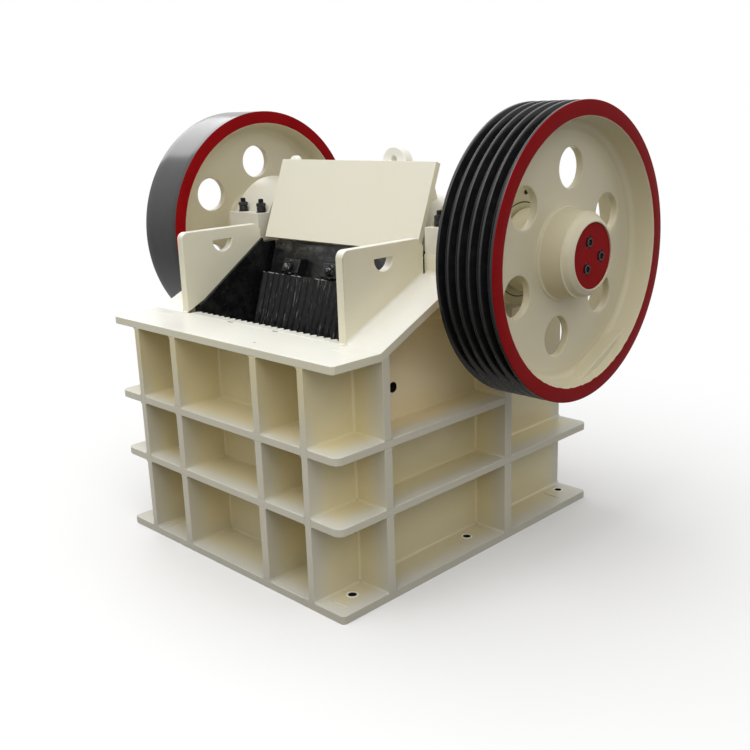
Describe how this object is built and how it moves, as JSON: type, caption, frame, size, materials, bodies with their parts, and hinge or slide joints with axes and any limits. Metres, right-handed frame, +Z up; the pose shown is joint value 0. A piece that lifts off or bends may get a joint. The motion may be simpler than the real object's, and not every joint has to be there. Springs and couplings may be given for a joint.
{
  "type": "jaw crusher",
  "caption": "Single-toggle jaw crusher: ribbed welded frame, toothed jaws under a leaning guard, grooved drive pulley and matching flywheel on an eccentric shaft.",
  "frame": {"origin": "centre of the underside of the base flange", "axes": "+X towards the grooved pulley, -Y towards the feed deck, +Z up"},
  "size_m": [1.706, 1.24, 1.425],
  "materials": {
    "cream_paint": "gloss",
    "red_paint": "gloss",
    "rim_paint": "gloss",
    "black_jaw_paint": "gloss",
    "bare_steel": "machined",
    "dark_steel": "satin"
  },
  "bodies": {
    "frame": {"base_flange_sides": "cream_paint", "base_flange_ends": "cream_paint", "mid_flange_sides": "cream_paint", "mid_flange_ends": "cream_paint", "upper_flange_sides": "cream_paint", "upper_flange_front": "cream_paint", "deck_plate": "cream_paint", "slope_cap_left": "cream_paint", "slope_cap_right": "cream_paint", "side_plate_left": "cream_paint", "side_plate_right": "cream_paint", "front_wall": "cream_paint", "rear_wall": "cream_paint", "bearing_shelves": "cream_paint", "front_ribs": "cream_paint", "side_ribs": "cream_paint", "rear_ribs": "cream_paint", "cheek_plate_left": "cream_paint", "cheek_plate_right": "cream_paint", "bearing_seat_left": "cream_paint", "bearing_seat_right": "cream_paint", "bearing_cap_left": "cream_paint", "bearing_cap_right": "cream_paint", "bearings": "cream_paint", "side_liner_left": "black_jaw_paint", "side_liner_right": "black_jaw_paint", "fixed_jaw_plate": "black_jaw_paint", "toggle_block": "dark_steel"},
    "rotor": {"eccentric_shaft": "bare_steel", "pulley_rim": "rim_paint", "pulley_web": "cream_paint", "flywheel_rim": "rim_paint", "flywheel_web": "cream_paint", "hub_covers": "red_paint"},
    "moving_jaw": {"pitman_barrel": "black_jaw_paint", "pitman_slab": "black_jaw_paint", "pitman_ribs": "black_jaw_paint", "toggle_beam": "black_jaw_paint", "toggle_plate": "dark_steel", "moving_jaw_plate": "black_jaw_paint", "jaw_clamp_blocks": "black_jaw_paint", "guard_plate": "cream_paint", "lifting_eyes": "cream_paint", "tension_rod": "dark_steel", "tension_spring": "dark_steel"}
  },
  "joints": [
    {"name": "shaft_spin", "type": "hinge", "parent": "frame", "child": "rotor", "pos_m": [0, 0.148, 0.985], "axis": [1, 0, 0], "continuous": true},
    {"name": "jaw_swing", "type": "hinge", "parent": "rotor", "child": "moving_jaw", "pos_m": [0, 0.148, 0.973], "axis": [1, 0, 0], "continuous": true}
  ],
  "couplings": [
    {"joint": "jaw_swing", "follows": "shaft_spin", "ratio": -1}
  ]
}
